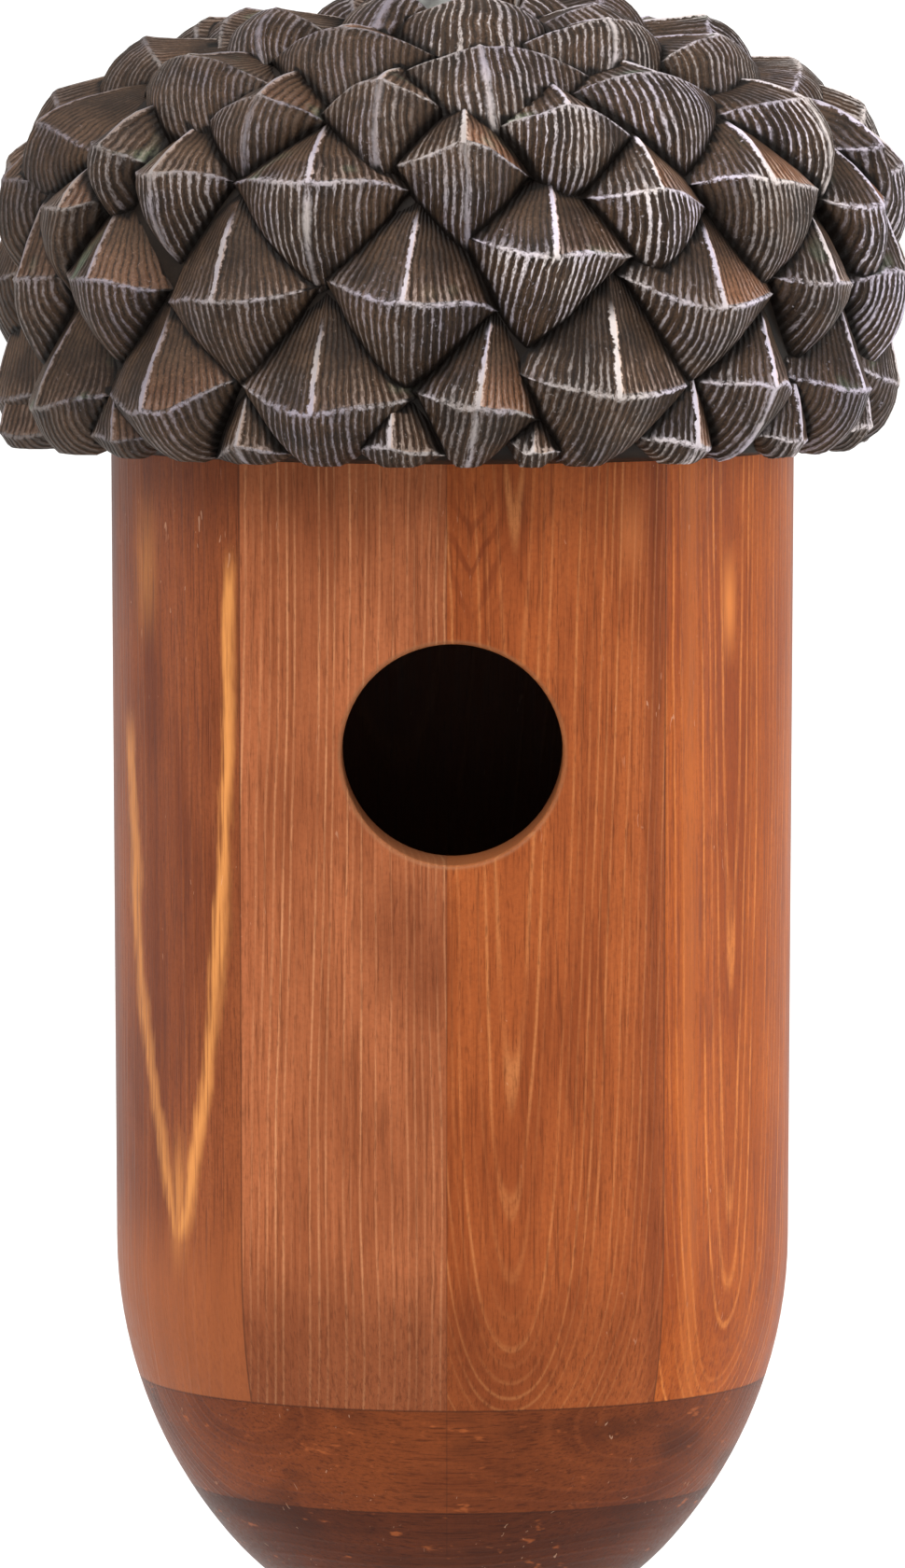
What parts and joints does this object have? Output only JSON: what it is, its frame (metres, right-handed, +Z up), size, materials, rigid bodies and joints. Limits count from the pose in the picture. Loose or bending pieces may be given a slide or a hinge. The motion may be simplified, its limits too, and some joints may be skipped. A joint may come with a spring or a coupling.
{
  "type": "birdhouse",
  "caption": "Acorn-shaped hanging birdhouse: a turned wooden nest box with a round entrance under a scaled acorn-cap roof that lifts off, hung by an eye bolt.",
  "frame": {"origin": "centre of the hanging eye's bore, above the crown of the cap", "axes": "+Z up along the turned axis, the entrance faces -Y, +X to the right seen from the front"},
  "size_m": [0.162, 0.1615, 0.3213],
  "materials": {
    "front_wood": "oiled satin",
    "back_wood": "oiled satin",
    "side_wood": "oiled satin",
    "base_wood": "oiled satin",
    "bar_wood": "oiled satin",
    "cap_resin": "matt, dry-brushed pale on the ridges",
    "zinc_steel": "zinc plated",
    "seal_rubber": "matt"
  },
  "bodies": {
    "nest_box": {"front_strip_left": "front_wood", "front_strip_right": "front_wood", "back_board": "back_wood", "side_board_left": "side_wood", "side_board_right": "side_wood", "base_board_upper": "base_wood", "base_board_lower": "base_wood", "hanger_bar": "bar_wood", "bar_screws": "zinc_steel", "tee_nut": "zinc_steel"},
    "cap": {"cap_shell": "cap_resin", "sealing_washer": "seal_rubber", "crown_washer": "zinc_steel"},
    "eye": {"eye_bolt": "zinc_steel"}
  },
  "joints": [
    {"name": "cap_lift", "type": "slide", "parent": "nest_box", "child": "cap", "axis": [0, 0, 1], "range_m": [0, 0.045]},
    {"name": "eye_turn", "type": "hinge", "parent": "cap", "child": "eye", "pos_m": [0, 0, 0], "axis": [0, 0, 1], "continuous": true}
  ]
}
